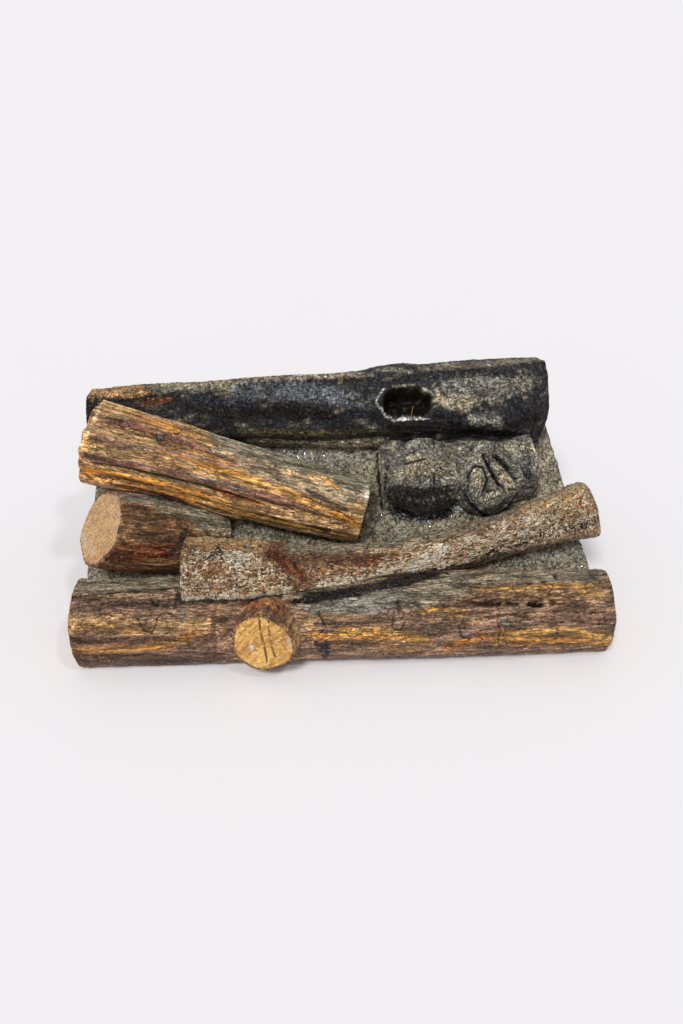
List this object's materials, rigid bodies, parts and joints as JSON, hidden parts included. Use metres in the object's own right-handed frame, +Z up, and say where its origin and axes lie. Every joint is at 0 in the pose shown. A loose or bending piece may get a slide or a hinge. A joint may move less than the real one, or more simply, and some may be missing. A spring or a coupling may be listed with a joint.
{
  "type": "electric fireplace log set",
  "caption": "Electric fireplace log set: hollow moulded logs on a sloping ember bed, lifting off a lamp tray with heat-driven flicker spinners.",
  "frame": {"origin": "centre of the footprint, on the hearth", "axes": "+X to the right of a person facing the logs, +Y to the back of the fireplace, +Z up"},
  "size_m": [0.6003, 0.3492, 0.2328],
  "materials": {
    "bark_brown": "matte painted moulding",
    "bark_charred": "satin painted moulding",
    "bark_birch": "matte painted moulding",
    "ash_bed": "matte painted moulding with glitter",
    "tray_steel": "satin",
    "spring_steel": "satin",
    "spinner_aluminium": "satin",
    "porcelain": "gloss",
    "brass": "satin",
    "amber_glass": "gloss lacquer",
    "clear_glass": "gloss",
    "filament_wire": "matte",
    "rubber": "matte",
    "black_plastic": "satin",
    "lead_sleeve": "satin"
  },
  "bodies": {
    "tray": {"lamp_tray": "tray_steel", "cable_grommet": "rubber", "foot_front_left": "rubber", "foot_front_right": "rubber", "foot_rear_left": "rubber", "foot_rear_right": "rubber", "terminal_block": "black_plastic", "terminal_screw_live": "spring_steel", "terminal_screw_neutral": "spring_steel", "lampholder_left": "porcelain", "thread_shell_left": "brass", "centre_contact_left": "brass", "lamp_cap_left": "brass", "lamp_glass_left": "amber_glass", "lamp_stem_left": "clear_glass", "filament_left": "filament_wire", "stirrup_left": "spring_steel", "needle_left": "spring_steel", "screw_left_front": "spring_steel", "screw_left_rear": "spring_steel", "lead_left_live": "lead_sleeve", "lead_left_neutral": "lead_sleeve", "lampholder_right": "porcelain", "thread_shell_right": "brass", "centre_contact_right": "brass", "lamp_cap_right": "brass", "lamp_glass_right": "amber_glass", "lamp_stem_right": "clear_glass", "filament_right": "filament_wire", "stirrup_right": "spring_steel", "needle_right": "spring_steel", "screw_right_front": "spring_steel", "screw_right_rear": "spring_steel", "lead_right_live": "lead_sleeve", "lead_right_neutral": "lead_sleeve"},
    "shell": {"ember_bed": "ash_bed", "front_log": "bark_brown", "front_branch": "bark_brown", "short_log": "bark_brown", "split_log": "bark_brown", "birch_log": "bark_birch", "back_log": "bark_charred", "charred_log": "bark_charred", "left_knot": "bark_charred", "right_knot": "bark_charred", "shell_bracket_left": "spring_steel", "shell_bracket_right": "spring_steel", "rivet_left_front": "spring_steel", "rivet_left_rear": "spring_steel", "rivet_right_front": "spring_steel", "rivet_right_rear": "spring_steel"},
    "spinner_left": {"spinner_disc_left": "spinner_aluminium", "pivot_cup_left": "brass"},
    "spinner_right": {"spinner_disc_right": "spinner_aluminium", "pivot_cup_right": "brass"}
  },
  "joints": [
    {"name": "shell_lift", "type": "slide", "parent": "tray", "child": "shell", "axis": [0, 0, 1], "range_m": [0, 0.25]},
    {"name": "spinner_left_turn", "type": "hinge", "parent": "tray", "child": "spinner_left", "pos_m": [-0.13817, 0.08046, 0.0896], "axis": [0, 0, 1], "continuous": true},
    {"name": "spinner_right_turn", "type": "hinge", "parent": "tray", "child": "spinner_right", "pos_m": [0.11183, 0.08046, 0.0896], "axis": [0, 0, 1], "continuous": true}
  ]
}
